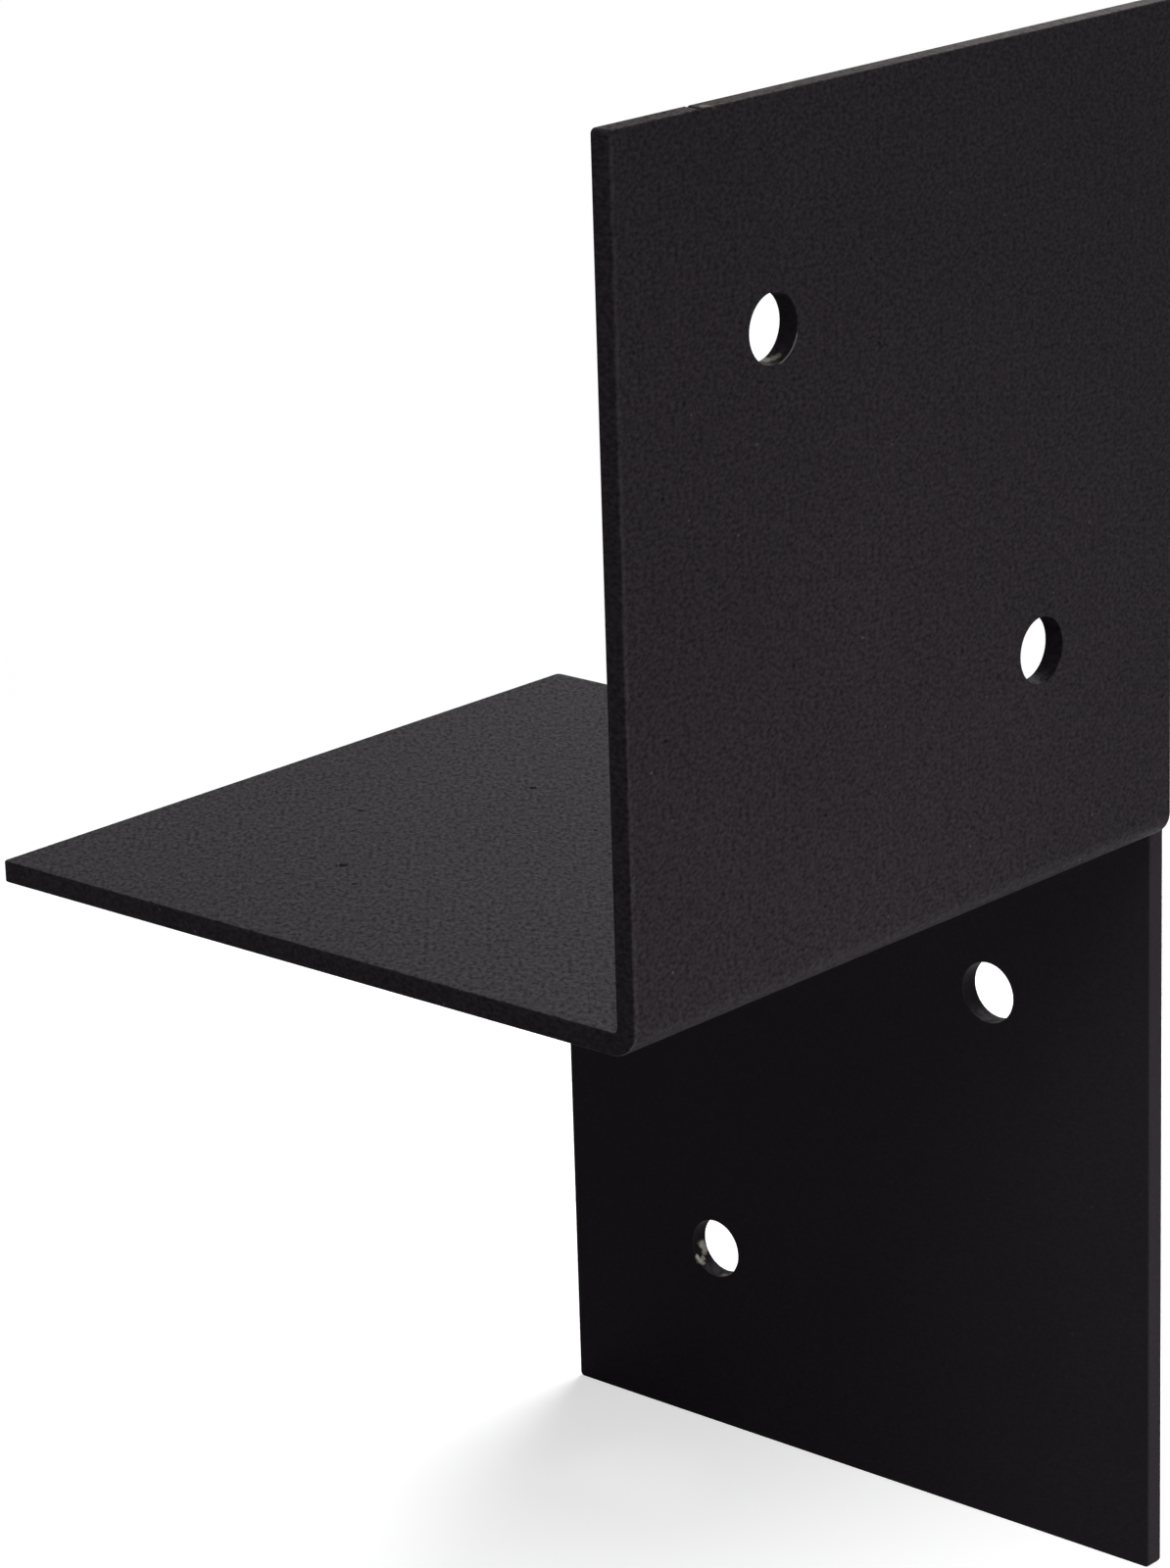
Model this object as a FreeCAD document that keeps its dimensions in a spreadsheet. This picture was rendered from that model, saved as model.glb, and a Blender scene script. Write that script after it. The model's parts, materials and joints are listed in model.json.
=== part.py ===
import FreeCAD, Part
import math
import os
import Sketcher

# A beam wall bracket: one steel blank, folded twice and powder coated. All sizes are in millimetres.
# A square shelf carries the end of a beam. Its right side is folded up beside the beam, and its back
# is folded down against the wall, so the two flanges stand on neighbouring sides of the shelf.
# The origin is midway between the two wall holes, on the plane of the wall. +X points along the wall
# towards the beam flange, +Y into the wall and +Z up.

SIZES = {
    # The shelf, over the outer faces: from its free left edge to the beam flange, and from its free
    # front edge to the wall.
    "shelf_width": 100.0,
    "shelf_depth": 100.0,
    # The beam flange rises from the shelf's underside, and the wall flange drops from its top.
    "flange_rise": 100.0,
    "flange_drop": 100.0,
    # The sheet before it is coated, and the layer of powder that each of its surfaces takes on.
    "sheet": 2.5,
    "powder": 0.06,
    # Inside radius of both folds, in bare steel.
    "fold_radius": 0.8,
    # A square is cut out of the blank's corner, where the two folds would meet: the radius that the
    # cutter leaves in it, and the flat left between that radius and either fold.
    "relief_radius": 0.5,
    "relief_margin": 0.34,
    # Two holes are punched on each flange's diagonal: the punch, the outer hole's distance from both
    # free edges, and the inner hole's distance from the outer faces that the folds lead to.
    "punch": 8.0,
    "hole_edge": 25.0,
    "hole_fold": 29.0,
    # Every cut edge is deburred, and the powder rounds it further. The rims of the punched holes stay
    # sharper, and the blank's free corners are clipped round.
    "edge_round": 0.2,
    "rim_round": 0.12,
    "corner_round": 0.6,
}

# What follows from the driving sizes, as formulas that the features are bound to.
WALL = "(sizes.sheet + 2 * sizes.powder)"
INNER_RADIUS = "(sizes.fold_radius - sizes.powder)"
OUTER_RADIUS = f"({INNER_RADIUS} + {WALL})"
RELIEF = f"({OUTER_RADIUS} + sizes.relief_radius + sizes.relief_margin)"
HOLE_WIDTH = "(sizes.punch - 2 * sizes.powder)"
PITCH_ACROSS = "(sizes.shelf_width - sizes.hole_edge - sizes.hole_fold)"
PITCH_DOWN = "(sizes.flange_drop - sizes.hole_edge - sizes.hole_fold)"
FREE_REACH = f"(sizes.hole_edge + {PITCH_ACROSS} / 2)"
FLANGE_FACE = f"(sizes.hole_fold + {PITCH_ACROSS} / 2)"
SHELF_TOP = f"(sizes.hole_fold + {PITCH_DOWN} / 2)"
SHELF_UNDERSIDE = f"({SHELF_TOP} - {WALL})"

# The same lengths as numbers. They place the sketches' points before their constraints are solved,
# and find edges on the finished folds.
wall = SIZES["sheet"] + 2 * SIZES["powder"]
inner_radius = SIZES["fold_radius"] - SIZES["powder"]
outer_radius = inner_radius + wall
relief = outer_radius + SIZES["relief_radius"] + SIZES["relief_margin"]
pitch_across = SIZES["shelf_width"] - SIZES["hole_edge"] - SIZES["hole_fold"]
pitch_down = SIZES["flange_drop"] - SIZES["hole_edge"] - SIZES["hole_fold"]
free_reach = SIZES["hole_edge"] + pitch_across / 2
flange_face = SIZES["hole_fold"] + pitch_across / 2
shelf_top = SIZES["hole_fold"] + pitch_down / 2
shelf_underside = shelf_top - wall

# Faces whose normals agree by more than this are flush, and points nearer than this coincide.
FLUSH = 0.9
TOUCH = 1e-4


def add_sheet(doc):
    """The driving sizes, one row each: its name, and its value under an alias."""
    sheet = doc.addObject("Spreadsheet::Sheet", "sizes")
    for row, (name, value) in enumerate(SIZES.items(), start=1):
        sheet.set(f"A{row}", name)
        sheet.set(f"B{row}", str(value))
        sheet.setAlias(f"B{row}", name)
    doc.recompute()


def origin_plane(body, role):
    for feature in body.Origin.OriginFeatures:
        if feature.Role == role:
            return feature
    raise ValueError(f"the body has no {role}")


def new_sketch(body, name, role, offset=None):
    """A sketch on one of the body's origin planes, moved along the plane's normal by a formula."""
    sketch = body.newObject("Sketcher::SketchObject", name)
    sketch.AttachmentSupport = (origin_plane(body, role), [""])
    sketch.MapMode = "FlatFace"
    if offset is not None:
        sketch.setExpression("AttachmentOffset.Base.z", offset)
    return sketch


def dimension(sketch, name, formula, kind, *where):
    """A constraint whose value is bound to a formula of the driving sizes."""
    index = sketch.addConstraint(Sketcher.Constraint(kind, *where, 1.0))
    sketch.renameConstraint(index, name)
    sketch.setExpression(f"Constraints.{name}", formula)


def draw_fold(sketch, free_end, face, skin, turn, reach):
    """The section of one fold: the shelf runs from its free end to the fold, and the flange runs on
    from there, up with a turn of 1 or down with a turn of -1. Its outer skin is the shelf's skin on
    the fold's outside, and then the flange's face. Returns the numbers of those two lines."""
    centre = FreeCAD.Vector(face - outer_radius, skin + turn * outer_radius, 0)
    end = skin + turn * reach

    def point(across, up):
        return FreeCAD.Vector(across, up, 0)

    def line(first, second):
        return sketch.addGeometry(Part.LineSegment(first, second))

    def arc(radius):
        circle = Part.Circle(centre, FreeCAD.Vector(0, 0, 1), radius)
        quarter = (-math.pi / 2, 0) if turn > 0 else (0, math.pi / 2)
        return sketch.addGeometry(Part.ArcOfCircle(circle, *quarter))

    shelf_outer = line(point(free_end, skin), point(centre.x, skin))
    outer_arc = arc(outer_radius)
    flange_outer = line(point(face, centre.y), point(face, end))
    flange_end = line(point(face, end), point(face - wall, end))
    flange_inner = line(point(face - wall, end), point(face - wall, centre.y))
    inner_arc = arc(inner_radius)
    shelf_inner = line(point(centre.x, skin + turn * wall), point(free_end, skin + turn * wall))
    shelf_end = line(point(free_end, skin + turn * wall), point(free_end, skin))

    # Arcs run anticlockwise, so each starts at the shelf in a fold that turns up, and at the flange
    # in one that turns down.
    at_shelf, at_flange = (1, 2) if turn > 0 else (2, 1)
    joins = [
        ("Tangent", shelf_outer, 2, outer_arc, at_shelf),
        ("Tangent", outer_arc, at_flange, flange_outer, 1),
        ("Coincident", flange_outer, 2, flange_end, 1),
        ("Coincident", flange_end, 2, flange_inner, 1),
        ("Tangent", flange_inner, 2, inner_arc, at_flange),
        ("Tangent", inner_arc, at_shelf, shelf_inner, 1),
        ("Coincident", shelf_inner, 2, shelf_end, 1),
        ("Coincident", shelf_end, 2, shelf_outer, 1),
        ("Coincident", outer_arc, 3, inner_arc, 3),
    ]
    for join in joins:
        sketch.addConstraint(Sketcher.Constraint(*join))
    for level in (shelf_outer, shelf_inner, flange_end):
        sketch.addConstraint(Sketcher.Constraint("Horizontal", level))
    for upright in (flange_outer, flange_inner, shelf_end):
        sketch.addConstraint(Sketcher.Constraint("Vertical", upright))
    dimension(sketch, "inner_radius", INNER_RADIUS, "Radius", inner_arc)
    low_end, high_end = (2, 1) if turn > 0 else (1, 2)
    dimension(sketch, "wall", WALL, "DistanceY", shelf_end, low_end, shelf_end, high_end)
    return shelf_outer, flange_outer


def add_beam_fold(body):
    """The shelf, with the flange that rises on its right. It stops short of the wall by the relief."""
    sketch = new_sketch(body, "beam_fold_section", "XZ_Plane", RELIEF)
    shelf, flange = draw_fold(
        sketch, -free_reach, flange_face, shelf_underside, 1, SIZES["flange_rise"]
    )
    dimension(sketch, "free_edge", FREE_REACH, "DistanceX", shelf, 1, -1, 1)
    dimension(sketch, "underside", SHELF_UNDERSIDE, "DistanceY", -1, 1, shelf, 1)
    dimension(sketch, "width", "sizes.shelf_width", "DistanceX", shelf, 1, flange, 2)
    dimension(sketch, "rise", "sizes.flange_rise", "DistanceY", shelf, 1, flange, 2)
    pad = body.newObject("PartDesign::Pad", "beam_fold")
    pad.Profile = sketch
    pad.setExpression("Length", f"sizes.shelf_depth - {RELIEF}")
    return pad


def add_wall_fold(body):
    """The same shelf, with the flange that drops behind it. It stops short of the beam flange's
    outer face by the relief, so the two folds leave a square open between them."""
    sketch = new_sketch(body, "wall_fold_section", "YZ_Plane", f"-{FREE_REACH}")
    shelf, flange = draw_fold(
        sketch, -SIZES["shelf_depth"], 0.0, shelf_top, -1, SIZES["flange_drop"]
    )
    dimension(sketch, "shelf_top", SHELF_TOP, "DistanceY", -1, 1, shelf, 1)
    dimension(sketch, "depth", "sizes.shelf_depth", "DistanceX", shelf, 1, flange, 2)
    dimension(sketch, "drop", "sizes.flange_drop", "DistanceY", flange, 2, shelf, 1)
    sketch.addConstraint(Sketcher.Constraint("PointOnObject", flange, 2, -2))
    pad = body.newObject("PartDesign::Pad", "wall_fold")
    pad.Profile = sketch
    pad.setExpression("Length", f"sizes.shelf_width - {RELIEF}")
    return pad


def punch_pair(body, name, role, offset, places):
    """Two equal holes, punched through the whole sheet. Each place has its name, its two numbers in
    the sketch, and the formulas of their sizes."""
    sketch = new_sketch(body, f"{name}_places", role, offset)
    normal = FreeCAD.Vector(0, 0, 1)
    radius = SIZES["punch"] / 2 - SIZES["powder"]
    for label, across, up, across_formula, up_formula in places:
        circle = sketch.addGeometry(Part.Circle(FreeCAD.Vector(across, up, 0), normal, radius))
        from_right = (circle, 3, -1, 1) if across < 0 else (-1, 1, circle, 3)
        from_below = (circle, 3, -1, 1) if up < 0 else (-1, 1, circle, 3)
        dimension(sketch, f"{label}_across", across_formula, "DistanceX", *from_right)
        dimension(sketch, f"{label}_up", up_formula, "DistanceY", *from_below)
        dimension(sketch, f"{label}_width", HOLE_WIDTH, "Diameter", circle)
    pocket = body.newObject("PartDesign::Pocket", name)
    pocket.Profile = sketch
    pocket.Type = "ThroughAll"
    pocket.SideType = "Symmetric"
    return pocket


def punch_wall_holes(body):
    """The wall holes lie either side of the origin, on the diagonal that falls to the flange's free
    corner."""
    across = pitch_across / 2
    up = pitch_down / 2
    formulas = (f"{PITCH_ACROSS} / 2", f"{PITCH_DOWN} / 2")
    places = [("outer", -across, -up, *formulas), ("inner", across, up, *formulas)]
    return punch_pair(body, "wall_holes", "XZ_Plane", None, places)


def punch_beam_holes(body):
    """The beam holes lie on the diagonal that rises to the flange's free corner."""
    outer_depth = SIZES["shelf_depth"] - SIZES["hole_edge"]
    outer_height = shelf_underside + SIZES["flange_rise"] - SIZES["hole_edge"]
    outer_formulas = (
        "sizes.shelf_depth - sizes.hole_edge",
        f"{SHELF_UNDERSIDE} + sizes.flange_rise - sizes.hole_edge",
    )
    inner_height = shelf_underside + SIZES["hole_fold"]
    inner_formulas = ("sizes.hole_fold", f"{SHELF_UNDERSIDE} + sizes.hole_fold")
    places = [
        ("outer", -outer_depth, outer_height, *outer_formulas),
        ("inner", -SIZES["hole_fold"], inner_height, *inner_formulas),
    ]
    return punch_pair(body, "beam_holes", "YZ_Plane", FLANGE_FACE, places)


def relief_corner(shape):
    """The upright edge in the corner of the relief."""
    across = flange_face - relief
    for number, edge in enumerate(shape.Edges, start=1):
        ends = [vertex.Point for vertex in edge.Vertexes]
        if all(abs(end.x - across) < TOUCH and abs(end.y + relief) < TOUCH for end in ends):
            return f"Edge{number}"
    raise ValueError("the relief has no upright edge in its corner")


def is_corner(edge):
    """A free corner of the blank is a straight edge, as long as the sheet is thick."""
    return isinstance(edge.Curve, Part.Line) and abs(edge.Length - wall) < TOUCH


def is_rim(edge):
    """The rim of a hole is a whole circle."""
    return edge.isClosed()


def is_side(edge):
    return not edge.isClosed()


def cut_edges(shape, wanted):
    """The wanted ones of the edges where two faces meet at an angle. Where a fold runs on into a flat
    they are flush, and there is nothing to round."""
    found = []
    for number, edge in enumerate(shape.Edges, start=1):
        middle = edge.valueAt((edge.FirstParameter + edge.LastParameter) / 2)
        faces = shape.ancestorsOfType(edge, Part.Face)
        normals = [face.normalAt(*face.Surface.parameter(middle)) for face in faces]
        if len(normals) == 2 and abs(normals[0].dot(normals[1])) < FLUSH and wanted(edge):
            found.append(f"Edge{number}")
    return found


def round_edges(body, base, name, edges, radius):
    fillet = body.newObject("PartDesign::Fillet", name)
    fillet.Base = (base, edges)
    fillet.setExpression("Radius", radius)
    return fillet


def make_bracket(doc):
    """The whole bracket is one sheet, so it is one body."""
    body = doc.addObject("PartDesign::Body", "bracket")
    body.Label = "bracket"
    add_beam_fold(body)
    add_wall_fold(body)
    punch_wall_holes(body)
    punched = punch_beam_holes(body)
    doc.recompute()
    corner = relief_corner(punched.Shape)
    relieved = round_edges(body, punched, "relief_corner", [corner], "sizes.relief_radius")
    doc.recompute()
    corners = cut_edges(relieved.Shape, is_corner)
    clipped = round_edges(body, relieved, "free_corners", corners, "sizes.corner_round")
    doc.recompute()
    rims = cut_edges(clipped.Shape, is_rim)
    rimmed = round_edges(body, clipped, "hole_rims", rims, "sizes.rim_round")
    doc.recompute()
    sides = cut_edges(rimmed.Shape, is_side)
    deburred = round_edges(body, rimmed, "edge_rounding", sides, "sizes.edge_round")
    body.Tip = deburred
    doc.recompute()
    return body


def check(doc, bodies):
    """Stops before anything is written if a feature failed or a solid is not sound."""
    for item in doc.Objects:
        if "Invalid" in item.State or "Error" in item.State:
            raise ValueError(f"{item.Label} failed")
    for body in bodies:
        if body.Shape.isNull() or not body.Shape.isValid() or len(body.Shape.Solids) != 1:
            raise ValueError(f"{body.Label} is not one sound solid")


def write(bodies):
    os.makedirs("parts", exist_ok=True)
    for body in bodies:
        body.Shape.exportStep(f"parts/{body.Label}.step")
        box = body.Shape.optimalBoundingBox()
        print(f"{body.Label}: volume {body.Shape.Volume:.1f} mm3, {len(body.Shape.Faces)} faces")
        print(f"  x {box.XMin:.2f} to {box.XMax:.2f}, y {box.YMin:.2f} to {box.YMax:.2f}")
        print(f"  z {box.ZMin:.2f} to {box.ZMax:.2f}")


document = FreeCAD.newDocument("beam_wall_bracket")
add_sheet(document)
pieces = [make_bracket(document)]
check(document, pieces)
write(pieces)
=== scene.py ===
import json
import math

import bmesh
import bpy
from mathutils import Matrix, Vector


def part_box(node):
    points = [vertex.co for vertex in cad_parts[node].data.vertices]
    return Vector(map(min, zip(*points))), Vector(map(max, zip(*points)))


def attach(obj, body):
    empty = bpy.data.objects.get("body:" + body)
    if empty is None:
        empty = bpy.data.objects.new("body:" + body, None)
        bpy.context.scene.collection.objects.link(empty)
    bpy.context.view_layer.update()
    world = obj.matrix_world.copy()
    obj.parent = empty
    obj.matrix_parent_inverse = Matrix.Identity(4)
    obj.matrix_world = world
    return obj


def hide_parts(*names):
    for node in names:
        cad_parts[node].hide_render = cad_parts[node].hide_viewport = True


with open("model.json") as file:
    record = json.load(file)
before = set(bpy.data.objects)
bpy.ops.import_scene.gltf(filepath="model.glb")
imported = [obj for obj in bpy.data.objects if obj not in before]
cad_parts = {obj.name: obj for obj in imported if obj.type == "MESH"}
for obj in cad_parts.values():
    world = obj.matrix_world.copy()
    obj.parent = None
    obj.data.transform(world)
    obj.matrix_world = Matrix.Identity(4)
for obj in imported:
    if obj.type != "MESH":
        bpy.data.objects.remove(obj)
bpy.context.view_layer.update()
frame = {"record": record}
bpy.ops.object.select_all(action="DESELECT")

MM = 0.001

# The bracket: one sheet of steel with a square notched out of its corner. The right side of its shelf
# is folded up beside the beam and its back is folded down against the wall. It is cut, punched with
# two holes in each flange and folded on a press brake, all in one piece.
low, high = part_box("bracket")
mounts = {mount["name"]: mount for mount in frame["record"]["mounts"]}
shelf_top = mounts["beam_seat"]["pos_m"][2]
flange_inside = mounts["beam_side"]["pos_m"][0]
sheet = high.x - flange_inside
shelf_underside = shelf_top - sheet
inside_radius = 0.74 * MM
outside_radius = inside_radius + sheet
relief_margin = 0.84 * MM
relief = outside_radius + relief_margin
relief_radius = 0.5 * MM
hole_radius = mounts["wall_holes"]["dims"]["hole_r_mm"] * MM
hole_step = mounts["wall_holes"]["dims"]["pcd_mm"] * MM / math.sqrt(8)
edge_round = 0.2 * MM
rim_round = 0.12 * MM
corner_round = 0.6 * MM
FOLD_STEPS = 16
HOLE_SIDES = 48
HOLE_CELL = 6 * MM
HOLE_LIFT = 1 * MM
ROUND_STEPS = 4
TOUCH = 0.002 * MM
QUARTER_TURN = math.radians(90)
FLAT_ANGLE = math.radians(1)
SHARP_ANGLE = math.radians(40)
FLATS_FIRST = 100
CUT_EDGE_SLOT = 1
SHADED_HOLE_SLOT = 2
NICK_INSET = 1.3 * MM
NICK_Y = -85.5 * MM
NICK_ALONG = Vector((0.218, 0.976, 0)).normalized()
NICK_REACH = 0.38 * MM
NICK_TOP = 0.15 * MM
NICK_DEPTH = 0.28 * MM


def pick(kind, wanted):
    """In edit mode, selects the edges or faces whose corners are all wanted, and nothing else."""
    bpy.ops.mesh.select_mode(type=kind)
    bpy.ops.mesh.select_all(action="DESELECT")
    shape = bmesh.from_edit_mesh(bpy.context.edit_object.data)
    parts = shape.edges if kind == "EDGE" else shape.faces
    for part in parts:
        part.select_set(all(wanted(corner.co) for corner in part.verts))
    bmesh.update_edit_mesh(bpy.context.edit_object.data)


def near(value, place):
    return abs(value - place) < TOUCH


def extrude(x=0.0, y=0.0, z=0.0):
    bpy.ops.mesh.extrude_edges_move(TRANSFORM_OT_translate={"value": (x, y, z)})


def fold(centre, axis):
    """Carries the selected edge a quarter turn round the middle of a fold, clockwise as seen along
    the axis from behind."""
    bpy.ops.mesh.spin(
        steps=FOLD_STEPS, dupli=False, angle=QUARTER_TURN, center=centre, axis=axis
    )


def punch(on_flange, centre, across, turn):
    """Opens a round hole: the square cell about it is taken out, and the flange's skin is bridged
    from the cell's edges to the hole's rim. The rim waits in front of the skin while it is bridged."""
    up = Vector((0, 0, 1))
    lift = across.cross(up) * HOLE_LIFT
    reach = HOLE_CELL + TOUCH
    for direction in (across, up):
        for side in (-1, 1):
            pick("FACE", on_flange)
            place = centre + direction * HOLE_CELL * side
            bpy.ops.mesh.bisect(plane_co=place, plane_no=direction)

    def in_cell(corner):
        offset = corner - centre
        return abs(offset.x) < reach and abs(offset.y) < reach and abs(offset.z) < reach

    pick("FACE", in_cell)
    bpy.ops.mesh.delete(type="ONLY_FACE")
    pick("EDGE", in_cell)
    bpy.ops.mesh.subdivide(number_cuts=HOLE_SIDES // 4 - 1)
    bpy.ops.mesh.primitive_circle_add(
        vertices=HOLE_SIDES, radius=hole_radius, location=centre + lift, rotation=turn
    )
    pick("EDGE", in_cell)
    bpy.ops.mesh.bridge_edge_loops()
    pick("EDGE", lambda corner: in_cell(corner) and not on_flange(corner))
    bpy.ops.transform.translate(value=-lift)


shelf_middle = Vector(
    ((low.x + high.x - relief) / 2, (low.y - relief) / 2, shelf_top)
)
bpy.ops.mesh.primitive_plane_add(size=1, location=shelf_middle)
bracket = bpy.context.object
bracket.name = "folded_bracket"
bracket.scale = (high.x - relief - low.x, -relief - low.y, 1)
bpy.ops.object.transform_apply(location=True, rotation=True, scale=True)
coat = bpy.data.materials.new("black_powder_coat")
cut_edge_coat = bpy.data.materials.new("coated_cut_edge")
# The hole walls get a darker finish of their own: painted shade.
shaded_hole_coat = bpy.data.materials.new("coated_hole_wall")
for material in (coat, cut_edge_coat, shaded_hole_coat):
    bracket.data.materials.append(material)

bpy.ops.object.mode_set(mode="EDIT")
pick("EDGE", lambda corner: near(corner.x, high.x - relief))
extrude(x=relief - outside_radius)
fold((high.x - outside_radius, 0, shelf_top + inside_radius), (0, 1, 0))
extrude(z=high.z - shelf_top - inside_radius)
pick("EDGE", lambda corner: near(corner.y, -relief) and corner.x < high.x - relief + TOUCH)
extrude(y=relief - outside_radius)
fold((0, -outside_radius, shelf_top - outside_radius), (1, 0, 0))
extrude(z=low.z - shelf_top + outside_radius)


def on_wall_flange(corner):
    return near(corner.y, high.y) and corner.z < shelf_top - outside_radius + TOUCH


def on_beam_flange(corner):
    return near(corner.x, flange_inside) and corner.z > shelf_top + inside_radius - TOUCH


along_wall = Vector((1, 0, 0))
along_beam = Vector((0, 1, 0))
punched = []
for side in (-1, 1):
    wall_hole = Vector(mounts["wall_holes"]["pos_m"])
    wall_hole += Vector((hole_step, 0, hole_step)) * side
    punch(on_wall_flange, wall_hole, along_wall, (QUARTER_TURN, 0, 0))
    beam_hole = Vector(mounts["beam_holes"]["pos_m"])
    beam_hole += Vector((0, hole_step, -hole_step)) * side
    punch(on_beam_flange, beam_hole, along_beam, (0, QUARTER_TURN, 0))
    punched += [(wall_hole, -along_beam), (beam_hole, along_wall)]

bpy.ops.mesh.select_all(action="SELECT")
bpy.ops.mesh.remove_doubles(threshold=TOUCH)
bpy.ops.mesh.normals_make_consistent(inside=False)
bpy.ops.object.mode_set(mode="OBJECT")
shelf_faces = [face for face in bracket.data.polygons if near(face.center.z, shelf_top)]
if shelf_faces[0].normal.z < 0:
    bpy.ops.object.mode_set(mode="EDIT")
    bpy.ops.mesh.select_all(action="SELECT")
    bpy.ops.mesh.flip_normals()
    bpy.ops.object.mode_set(mode="OBJECT")

gauge = bracket.modifiers.new("gauge", "SOLIDIFY")
gauge.thickness = sheet
gauge.offset = -1
gauge.use_even_offset = True
gauge.material_offset_rim = CUT_EDGE_SLOT
bpy.ops.object.modifier_apply(modifier=gauge.name)


def on_flat_shelf(corner):
    clear_of_folds = max(corner.x - high.x, corner.y) < TOUCH - outside_radius
    return clear_of_folds and shelf_underside - TOUCH < corner.z < shelf_top + TOUCH


def on_rim(corner, centre, axis):
    """On the rim of a punched hole, in the skin of the sheet that its centre lies in."""
    away = corner - centre
    return near(away.dot(axis), 0) and near(away.length, hole_radius)


def stands_at(corner, place):
    """True where a corner has each of the coordinates that the place names."""
    return all(near(getattr(corner, axis), value) for axis, value in place.items())


def in_hole(corner, centre, axis):
    """On the wall of a punched hole."""
    away = corner - centre
    across = away - axis * away.dot(axis)
    return across.length < hole_radius + TOUCH and abs(away.dot(axis)) < sheet + TOUCH


bpy.ops.object.mode_set(mode="EDIT")
pick("FACE", on_flat_shelf)
bpy.ops.mesh.dissolve_limited(angle_limit=FLAT_ANGLE)
pick("EDGE", lambda corner: near(corner.x, high.x - relief) and near(corner.y, -relief))
bpy.ops.mesh.bevel(offset=relief_radius, segments=ROUND_STEPS, affect="EDGES")
for free_corner in (
    {"x": low.x, "y": low.y},
    {"y": low.y, "z": high.z},
    {"y": -relief, "z": high.z},
    {"x": low.x, "z": low.z},
    {"x": high.x - relief, "z": low.z},
):
    pick("EDGE", lambda corner: stands_at(corner, free_corner))
    bpy.ops.mesh.bevel(offset=corner_round, segments=ROUND_STEPS, affect="EDGES")
for centre, axis in punched:
    for skin in (0, 1):
        surface = centre + axis * sheet * skin
        pick("EDGE", lambda corner: on_rim(corner, surface, axis))
        bpy.ops.mesh.bevel(
            offset=rim_round, segments=ROUND_STEPS, affect="EDGES", loop_slide=False
        )
    # The hole walls take the darker finish, which paints shade into the holes.
    pick("FACE", lambda corner: in_hole(corner, centre, axis))
    bracket.active_material_index = SHADED_HOLE_SLOT
    bpy.ops.object.material_slot_assign()
bpy.ops.object.mode_set(mode="OBJECT")

deburr = bracket.modifiers.new("deburr", "BEVEL")
deburr.width = edge_round
deburr.segments = ROUND_STEPS
deburr.limit_method = "ANGLE"
deburr.angle_limit = SHARP_ANGLE
deburr.use_clamp_overlap = False
deburr.loop_slide = False
bpy.ops.object.modifier_apply(modifier=deburr.name)


def on_top_edge(corner):
    return corner.z > high.z - edge_round - TOUCH


def from_nick(corner):
    return (corner - nick_place).dot(NICK_ALONG)


nick_place = Vector((high.x - NICK_INSET, NICK_Y, high.z))
bpy.ops.object.mode_set(mode="EDIT")
for offset in (-NICK_REACH, 0, NICK_REACH):
    pick("FACE", on_top_edge)
    bpy.ops.mesh.bisect(plane_co=nick_place + NICK_ALONG * offset, plane_no=NICK_ALONG)
pick("EDGE", lambda corner: on_top_edge(corner) and abs(from_nick(corner)) < NICK_REACH + TOUCH)
bpy.ops.mesh.mark_sharp()
pick("EDGE", lambda corner: corner.z > high.z - NICK_TOP and near(from_nick(corner), 0))
bpy.ops.transform.translate(value=(0, 0, -NICK_DEPTH))
bpy.ops.object.mode_set(mode="OBJECT")

bpy.ops.object.shade_smooth()
flats = bracket.modifiers.new("flats", "WEIGHTED_NORMAL")
flats.mode = "FACE_AREA"
flats.weight = FLATS_FIRST
flats.keep_sharp = True
bpy.ops.object.modifier_apply(modifier=flats.name)


# The finish: black powder coat, baked on in one layer, and thinner on the cut edges. The walls of
# the holes are darker with painted shade.
# It has a fine grain with small pits and bright specks, whose lighter colour is a painted glint. It
# has worn thin and brownish along the top edge, has painted highlights along two front edges, on the
# beam flange's outer face and under the shelf and its fold, and a painted highlight arc on the rim of
# one hole, and has chipped in two of the holes.
COAT_COLOUR = (0.0142, 0.0119, 0.0142)
EDGE_COLOUR = (0.0178, 0.0146, 0.0176)
# The hole walls' colour is darker than the coat's: painted shade in the holes.
HOLE_SHADE_COLOUR = (0.0055, 0.0045, 0.0055)
THIN_COLOUR = (0.038, 0.029, 0.028)
BARE_COLOUR = (0.330, 0.310, 0.275)
SHEEN = 0.030
SHEEN_TINT = (1.0, 0.78, 1.0)
ROUGHEST = 0.58
SMOOTHEST = 0.44
NOISE_RANGE = (0.30, 0.70)

GRAIN = 0.62 * MM
GRAIN_SHAPE = (1.0, 1.0, 0.70)
GRAIN_DETAIL = 1.5
GRAIN_TONE = 0.52
GRAIN_TONE_ON_SHELF = 0.3
GRAIN_RELIEF = 0.06 * MM
FINE_GRAIN = 0.279 * MM
FINE_DETAIL = 1.0
FINE_RELIEF = 0.5
GRAIN_UNDER_SHELF = 0.25
LEVEL_FACING = (0.5, 0.9)
SHELF_GRAIN = 0.50 * MM
SHELF_GRAIN_SHAPE = (1.0, 2.2, 1.0)
SHELF_GRAIN_TURN = math.radians(43)
SHELF_TONE = 0.52
CLOUD = 22 * MM
CLOUD_DETAIL = 2.0
CLOUD_TONE = 0.05

DOT_CORE = 0.4
PIT_SPACING = 1.7 * MM
PIT_REACH = 0.28 * MM
PIT_LOSS = 0.45
SPOT_SPACING = 8 * MM
SPOT_REACH = 0.55 * MM
SPOT_LOSS = 0.40
# Bright specks: their lighter colour is a painted glint, and they are also smoother.
SPECK_SPACING = 5 * MM
SPECK_REACH = 0.22 * MM
PAINTED_GLINT_GAIN = 3.0
SPECK_POLISH = 0.25

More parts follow.
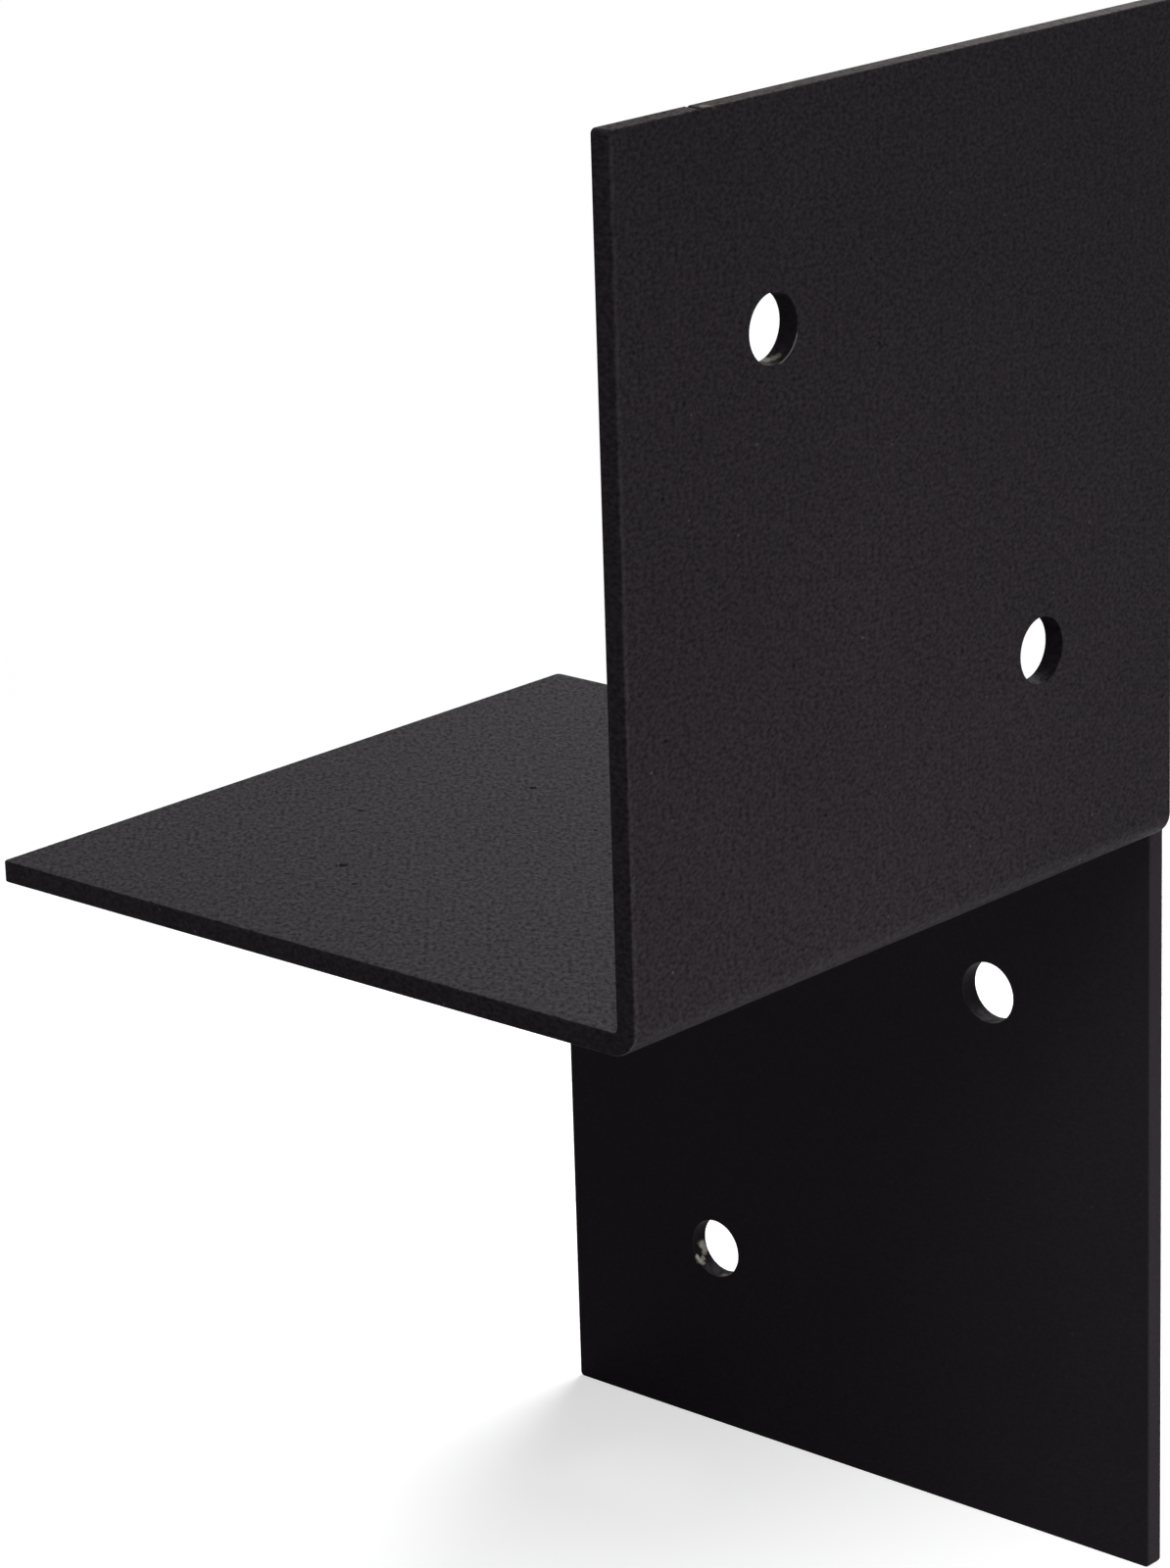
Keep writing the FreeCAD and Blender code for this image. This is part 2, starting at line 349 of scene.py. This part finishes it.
BREAKS = 1.1 * MM
BREAKS_DETAIL = 2.5
EDGE_BREAKS = 0.66 * MM
EDGE_BREAKS_DETAIL = 2.0
THIN_SHEEN = 0.006
THIN_BAND = (0.10 * MM, 0.04 * MM)
THIN_BROKEN = (0.38, 0.56)
THIN_LEAST = 0.40
THIN_RAGGED = 0.45 * MM
THIN_INSET = (0.20 * MM, 0.40 * MM)
THIN_ON_RIM = 0.2
THIN_FRONT = (9 * MM, 16 * MM)
THIN_AT_FRONT = 0.55
# Painted highlight: the colour is lighter along the front edge of the beam flange's outer face.
EDGE_HIGHLIGHT_REACH = (0.45 * MM, 0.75 * MM)
EDGE_HIGHLIGHT_FACING = (0.6, 0.9)
EDGE_HIGHLIGHT_BROKEN = (0.35, 0.60)
EDGE_HIGHLIGHT_LEAST = 0.3
EDGE_HIGHLIGHT_GAIN = 0.55
# Painted highlight: the colour is lighter along the front edge of the down-facing faces under the
# shelf and its fold.
LOWER_HIGHLIGHT_REACH = (0.12 * MM, 0.24 * MM)
LOWER_HIGHLIGHT_FACING = (-0.75, -0.30)
LOWER_HIGHLIGHT_GAIN = 2.2

# Painted highlight: a thin light arc in the bare colour just outside the rim of the upper front beam
# hole.
RIM_HIGHLIGHT = (52.0, -72.45, 121.55)
RIM_HIGHLIGHT_REACH = (1.8 * MM, 2.3 * MM)
RIM_HIGHLIGHT_OFFSET = 0.08 * MM
RIM_HIGHLIGHT_WIDTH = (0.03 * MM, 0.09 * MM)
RIM_HIGHLIGHT_SKIN = (0.15 * MM, 0.08 * MM)
RIM_HIGHLIGHT_STRENGTH = 0.30
CHIP_CORE = 0.5
CHIP_RAGGED = (0.6, 1.4)

# Each chip has its centre and its reach in millimetres, and how bare it is.
CHIPS = (
    ((-26.81, -0.75, -24.00), 0.75, 0.85),
    ((-26.62, -0.60, -24.55), 0.70, 0.70),
    ((-26.44, -1.05, -24.92), 0.50, 0.45),
    ((-26.13, -1.55, -25.39), 0.45, 0.45),
    ((-25.75, -2.15, -25.80), 0.45, 0.45),
    ((-26.34, -2.45, -25.09), 0.48, 1.00),
    ((-26.07, -2.35, -25.45), 0.45, 0.75),
    ((-22.19, -1.80, -26.86), 0.60, 0.20),
    ((49.60, -74.10, 120.55), 0.75, 0.50),
    ((50.17, -74.03, 120.56), 0.75, 0.50),
    ((50.55, -73.65, 120.68), 0.65, 0.35),
    ((50.85, -73.15, 120.90), 0.50, 0.20),
    ((51.30, -84.30, 149.38), 0.75, 0.30),
)

# Each deep pit in the shelf has its centre and its reach in millimetres, and how dark it is.
DEEP_PITS = (
    ((-16.8, -41.4, 52.0), 0.62, 0.85),
    ((-14.3, -76.9, 52.0), 0.62, 0.85),
    ((-27.4, -60.5, 52.0), 0.40, 0.85),
    ((-8.4, -81.0, 52.0), 0.45, 0.85),
    ((0.6, -49.1, 52.0), 0.40, 0.85),
)


def powder_coat(finish, colour):
    """Gives a finish its powder coat: its colour, and the grain, pits, specks, worn places and painted
    highlights that change the colour, gloss and height from place to place."""
    finish.use_nodes = True
    nodes, links = finish.node_tree.nodes, finish.node_tree.links
    shader = nodes["Principled BSDF"]
    place = nodes.new("ShaderNodeTexCoord").outputs["Object"]

    def along_axes(vector):
        """The X, Y and Z of a place or a direction."""
        parts = nodes.new("ShaderNodeSeparateXYZ")
        links.new(vector, parts.inputs[0])
        return parts.outputs

    def distance_to(millimetres):
        away = nodes.new("ShaderNodeVectorMath")
        away.operation = "DISTANCE"
        links.new(place, away.inputs[0])
        away.inputs[1].default_value = Vector(millimetres) * MM
        return away.outputs["Value"]

    def noise(size, detail, shape=(1, 1, 1), turn=0):
        """Clouds or grain of one size, drawn out along the axes by the shape, after a turn round Z."""
        drawn_out = nodes.new("ShaderNodeMapping")
        drawn_out.vector_type = "TEXTURE"
        drawn_out.inputs["Rotation"].default_value = (0, 0, turn)
        drawn_out.inputs["Scale"].default_value = shape
        links.new(place, drawn_out.inputs["Vector"])
        texture = nodes.new("ShaderNodeTexNoise")
        texture.inputs["Scale"].default_value = 1 / size
        texture.inputs["Detail"].default_value = detail
        links.new(drawn_out.outputs["Vector"], texture.inputs["Vector"])
        return texture.outputs["Fac"]

    def spread(value, from_low, from_high, to_low, to_high, smooth=False):
        """Fits a value from one range to another, and holds it at the ends."""
        fit = nodes.new("ShaderNodeMapRange")
        fit.interpolation_type = "SMOOTHSTEP" if smooth else "LINEAR"
        fit.inputs["From Min"].default_value = from_low
        fit.inputs["From Max"].default_value = from_high
        fit.inputs["To Min"].default_value = to_low
        fit.inputs["To Max"].default_value = to_high
        links.new(value, fit.inputs["Value"])
        return fit.outputs["Result"]

    def combine(operation, *values):
        """Adds, multiplies or compares two or more values, one after the other."""
        result = values[0]
        for value in values[1:]:
            maths = nodes.new("ShaderNodeMath")
            maths.operation = operation
            for socket, term in zip(maths.inputs, (result, value)):
                if isinstance(term, float):
                    socket.default_value = term
                else:
                    links.new(term, socket)
            result = maths.outputs[0]
        return result

    def dots(spacing, reach):
        """1 in the middle of round dots that are strewn all over, and 0 between them."""
        texture = nodes.new("ShaderNodeTexVoronoi")
        texture.inputs["Scale"].default_value = 1 / spacing
        links.new(place, texture.inputs["Vector"])
        share = reach / spacing
        return spread(texture.outputs["Distance"], share * DOT_CORE, share, 1, 0, smooth=True)

    grain = noise(GRAIN, GRAIN_DETAIL, GRAIN_SHAPE)
    fine_grain = noise(FINE_GRAIN, FINE_DETAIL, GRAIN_SHAPE)
    shelf_grain = noise(SHELF_GRAIN, GRAIN_DETAIL, SHELF_GRAIN_SHAPE, SHELF_GRAIN_TURN)
    cloud = noise(CLOUD, CLOUD_DETAIL)
    breaks = noise(BREAKS, BREAKS_DETAIL)
    edge_breaks = noise(EDGE_BREAKS, EDGE_BREAKS_DETAIL)
    pits = dots(PIT_SPACING, PIT_REACH)
    spots = dots(SPOT_SPACING, SPOT_REACH)
    specks_and_painted_glints = dots(SPECK_SPACING, SPECK_REACH)
    at = along_axes(place)
    facing = along_axes(nodes.new("ShaderNodeNewGeometry").outputs["Normal"])
    under = spread(at["Z"], shelf_underside - sheet, shelf_underside, GRAIN_UNDER_SHELF, 1)
    level = spread(facing["Z"], *LEVEL_FACING, 0, 1)

    at_top = spread(at["Z"], *(high.z - depth for depth in THIN_BAND), 0, 1, smooth=True)
    ragged_x = spread(edge_breaks, *NOISE_RANGE, -THIN_RAGGED, THIN_RAGGED)
    ragged_x = combine("ADD", at["X"], ragged_x)
    thin = combine(
        "MULTIPLY",
        at_top,
        spread(breaks, *THIN_BROKEN, THIN_LEAST, 1, smooth=True),
        spread(ragged_x, *(flange_inside + inset for inset in THIN_INSET), 0, 1),
        spread(ragged_x, *(high.x - inset for inset in THIN_INSET), THIN_ON_RIM, 1),
        spread(at["Y"], *(low.y + reach for reach in THIN_FRONT), THIN_AT_FRONT, 1, smooth=True),
    )
    # Painted highlights: lighter strips of colour along two front edges.
    painted_edge_highlight = combine(
        "MULTIPLY",
        spread(at["Y"], *(low.y + reach for reach in EDGE_HIGHLIGHT_REACH), 1, 0, smooth=True),
        spread(facing["X"], *EDGE_HIGHLIGHT_FACING, 0, 1),
        spread(breaks, *EDGE_HIGHLIGHT_BROKEN, EDGE_HIGHLIGHT_LEAST, 1, smooth=True),
    )
    painted_lower_edge_highlight = combine(
        "MULTIPLY",
        spread(at["Y"], *(low.y + reach for reach in LOWER_HIGHLIGHT_REACH), 1, 0),
        spread(facing["Z"], *LOWER_HIGHLIGHT_FACING, 1, 0),
    )

    ragged = spread(breaks, *NOISE_RANGE, *CHIP_RAGGED)

    def worn_place(centre, reach, strength):
        reached = combine("MULTIPLY", distance_to(centre), ragged)
        return spread(reached, reach * MM * CHIP_CORE, reach * MM, strength, 0, smooth=True)

    # Painted highlight: a thin light arc on the rim of the upper front beam hole, mixed in with the
    # chips.
    upper_front_hole, outwards = punched[1]
    rim_middle = upper_front_hole + outwards * sheet
    off_rim = combine("SUBTRACT", distance_to(rim_middle / MM), hole_radius + RIM_HIGHLIGHT_OFFSET)
    painted_rim_highlight = combine(
        "MULTIPLY",
        spread(combine("ABSOLUTE", off_rim, 0.0), *RIM_HIGHLIGHT_WIDTH, RIM_HIGHLIGHT_STRENGTH, 0),
        spread(distance_to(RIM_HIGHLIGHT), *RIM_HIGHLIGHT_REACH, 1, 0),
        spread(at["X"], *(high.x - depth for depth in RIM_HIGHLIGHT_SKIN), 0, 1),
    )
    chips_and_painted_rim_highlight = combine("MAXIMUM", *(worn_place(*chip) for chip in CHIPS), painted_rim_highlight)
    kept = combine("SUBTRACT", 1.0, combine("MAXIMUM", *(worn_place(*pit) for pit in DEEP_PITS)))

    grain_tone = spread(grain, *NOISE_RANGE, -GRAIN_TONE, GRAIN_TONE)
    grain_tone = combine("MULTIPLY", grain_tone, spread(level, 0, 1, 1, GRAIN_TONE_ON_SHELF))
    shelf_tone = spread(shelf_grain, *NOISE_RANGE, -SHELF_TONE, SHELF_TONE)
    shelf_tone = combine("MULTIPLY", shelf_tone, level)
    tone = combine("ADD", grain_tone, shelf_tone)
    tone = combine("SUBTRACT", tone, combine("MULTIPLY", pits, PIT_LOSS))
    tone = combine("SUBTRACT", tone, combine("MULTIPLY", spots, SPOT_LOSS))
    # The specks' lighter colour is a painted glint.
    tone = combine("ADD", tone, combine("MULTIPLY", specks_and_painted_glints, PAINTED_GLINT_GAIN))
    tone = combine("MULTIPLY", combine("ADD", combine("MULTIPLY", tone, under), 1.0), kept)
    # The painted edge highlights lighten the colour.
    tone = combine("ADD", tone, combine("MULTIPLY", painted_edge_highlight, EDGE_HIGHLIGHT_GAIN))
    tone = combine("ADD", tone, combine("MULTIPLY", painted_lower_edge_highlight, LOWER_HIGHLIGHT_GAIN))
    tone = combine("MULTIPLY", tone, spread(cloud, *NOISE_RANGE, 1 - CLOUD_TONE, 1 + CLOUD_TONE))
    coated = nodes.new("ShaderNodeVectorMath")
    coated.operation = "SCALE"
    coated.inputs[0].default_value = colour
    links.new(tone, coated.inputs["Scale"])
    surface = coated.outputs[0]
    # The bare colour shows in the real chips and in the painted rim highlight.
    for worn, beneath in ((thin, THIN_COLOUR), (chips_and_painted_rim_highlight, BARE_COLOUR)):
        layer = nodes.new("ShaderNodeMix")
        layer.data_type = "RGBA"
        links.new(worn, layer.inputs["Factor"])
        links.new(surface, layer.inputs["A"])
        layer.inputs["B"].default_value = (*beneath, 1)
        surface = layer.outputs["Result"]
    links.new(surface, shader.inputs["Base Color"])

    sheen = spread(at_top, 0, 1, SHEEN, THIN_SHEEN)
    sheen = combine("MULTIPLY", sheen, combine("ADD", shelf_tone, 1.0), kept)
    links.new(sheen, shader.inputs["Specular IOR Level"])
    shader.inputs["Specular Tint"].default_value = (*SHEEN_TINT, 1)
    rough = spread(fine_grain, *NOISE_RANGE, ROUGHEST, SMOOTHEST)
    rough = combine("SUBTRACT", rough, combine("MULTIPLY", specks_and_painted_glints, SPECK_POLISH))
    links.new(rough, shader.inputs["Roughness"])

    raised = combine("ADD", grain, combine("MULTIPLY", fine_grain, FINE_RELIEF))
    bump = nodes.new("ShaderNodeBump")
    bump.inputs["Distance"].default_value = GRAIN_RELIEF
    links.new(combine("MULTIPLY", raised, under), bump.inputs["Height"])
    links.new(bump.outputs["Normal"], shader.inputs["Normal"])


powder_coat(coat, COAT_COLOUR)
powder_coat(cut_edge_coat, EDGE_COLOUR)
powder_coat(shaded_hole_coat, HOLE_SHADE_COLOUR)
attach(bracket, "root")
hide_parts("bracket")

# The floor and the backdrop: plain white card. The eye and reflections see it white, and it throws
# only a little of the lamps' light back onto the bracket. The floor's own faint glow, which lifts it
# to pure white, is for the eye alone, and towards its edge the floor fades into the backdrop.
FLOOR_REACH = 0.45
FLOOR_FADE = 0.12
FLOOR_SIDES = 96
CARD_ROUGHNESS = 0.9
WHITE = 0.93
CARD_BOUNCE = 0.1
CARD_GLOW = 0.55
ROOM_LIGHT = 0.03


def seen_or_mirrored(nodes, links):
    """1 for a ray from the eye, a reflection or a clear pane, and 0 for scattered light."""
    path = nodes.new("ShaderNodeLightPath")
    glossy = nodes.new("ShaderNodeMath")
    glossy.operation = "MAXIMUM"
    links.new(path.outputs["Is Camera Ray"], glossy.inputs[0])
    links.new(path.outputs["Is Glossy Ray"], glossy.inputs[1])
    clear = nodes.new("ShaderNodeMath")
    clear.operation = "MAXIMUM"
    links.new(glossy.outputs[0], clear.inputs[0])
    links.new(path.outputs["Is Transmission Ray"], clear.inputs[1])
    return clear.outputs[0]


def grey(value):
    return (value, value, value, 1)


bpy.ops.mesh.primitive_circle_add(
    vertices=FLOOR_SIDES, radius=FLOOR_REACH, fill_type="NGON", location=(0, 0, low.z)
)
floor = bpy.context.object
floor.name = "floor"
card = bpy.data.materials.new("white_card")
card.use_nodes = True
nodes, links = card.node_tree.nodes, card.node_tree.links
surface = nodes["Principled BSDF"]
surface.inputs["Roughness"].default_value = CARD_ROUGHNESS
surface.inputs["Specular IOR Level"].default_value = 0.0
tone = nodes.new("ShaderNodeMix")
tone.data_type = "RGBA"
tone.inputs["A"].default_value = grey(CARD_BOUNCE)
tone.inputs["B"].default_value = grey(WHITE)
links.new(seen_or_mirrored(nodes, links), tone.inputs["Factor"])
links.new(tone.outputs["Result"], surface.inputs["Base Color"])
surface.inputs["Emission Color"].default_value = grey(1.0)
glow = nodes.new("ShaderNodeMath")
glow.operation = "MULTIPLY"
glow.inputs[1].default_value = CARD_GLOW
links.new(nodes.new("ShaderNodeLightPath").outputs["Is Camera Ray"], glow.inputs[0])
links.new(glow.outputs[0], surface.inputs["Emission Strength"])
place = nodes.new("ShaderNodeTexCoord")
distance = nodes.new("ShaderNodeVectorMath")
distance.operation = "LENGTH"
links.new(place.outputs["Object"], distance.inputs[0])
fade = nodes.new("ShaderNodeMapRange")
fade.interpolation_type = "SMOOTHSTEP"
fade.inputs["From Min"].default_value = FLOOR_FADE
fade.inputs["From Max"].default_value = FLOOR_REACH
links.new(distance.outputs["Value"], fade.inputs["Value"])
away = nodes.new("ShaderNodeBsdfTransparent")
blend = nodes.new("ShaderNodeMixShader")
links.new(fade.outputs["Result"], blend.inputs["Fac"])
links.new(surface.outputs[0], blend.inputs[1])
links.new(away.outputs[0], blend.inputs[2])
links.new(blend.outputs[0], nodes["Material Output"].inputs["Surface"])
floor.data.materials.append(card)

world = bpy.data.worlds.new("backdrop")
bpy.context.scene.world = world
world.use_nodes = True
nodes, links = world.node_tree.nodes, world.node_tree.links
shine = nodes.new("ShaderNodeMix")
shine.data_type = "RGBA"
shine.inputs["A"].default_value = grey(ROOM_LIGHT)
shine.inputs["B"].default_value = grey(1.0)
links.new(seen_or_mirrored(nodes, links), shine.inputs["Factor"])
links.new(shine.outputs["Result"], nodes["Background"].inputs["Color"])

# The lamps: three square soft boxes, one in front, a small one low on the right, which reflections
# don't show, and one above and behind the shelf. Each has its azimuth and elevation in degrees, its
# distance and side in metres and its power in watts.
LAMP_AIM = Vector((2, -50, 50)) * MM
SOFT_BOXES = (
    ("front", 40, 46, 0.72, 0.35, 2.75, True),
    ("low_right", 84, -16, 0.215, 0.08, 0.39, False),
    ("behind", 189, 46, 0.38, 0.24, 1.6, True),
)

for name, azimuth, elevation, distance, side, watts, mirrored in SOFT_BOXES:
    box_data = bpy.data.lights.new(name, "AREA")
    box_data.shape = "SQUARE"
    box_data.size = side
    box_data.energy = watts
    box = bpy.data.objects.new(name, box_data)
    box.visible_glossy = mirrored
    bpy.context.scene.collection.objects.link(box)
    box.matrix_world = (
        Matrix.Translation(LAMP_AIM)
        @ Matrix.Rotation(math.radians(azimuth), 4, "Z")
        @ Matrix.Rotation(math.radians(90 - elevation), 4, "X")
        @ Matrix.Translation((0, 0, distance))
    )

# The camera stands to the right of the bracket's front edge and a little above its shelf.
CAMERA_PLACE = Vector((408.46, -493.40, 248.05)) * MM
CAMERA_AZIMUTH = 42.659
CAMERA_ELEVATION = 17.508
CAMERA_ROLL = -1.795
CAMERA_LENS = 122.340
CAMERA_NEAR = 10 * MM

camera_data = bpy.data.cameras.new("camera")
camera_data.lens = CAMERA_LENS
camera_data.clip_start = CAMERA_NEAR
camera = bpy.data.objects.new("camera", camera_data)
bpy.context.scene.collection.objects.link(camera)
camera.matrix_world = (
    Matrix.Translation(CAMERA_PLACE)
    @ Matrix.Rotation(math.radians(CAMERA_AZIMUTH), 4, "Z")
    @ Matrix.Rotation(math.radians(90 - CAMERA_ELEVATION), 4, "X")
    @ Matrix.Rotation(math.radians(CAMERA_ROLL), 4, "Z")
)
bpy.context.scene.camera = camera

bpy.context.scene.view_settings.view_transform = "Standard"
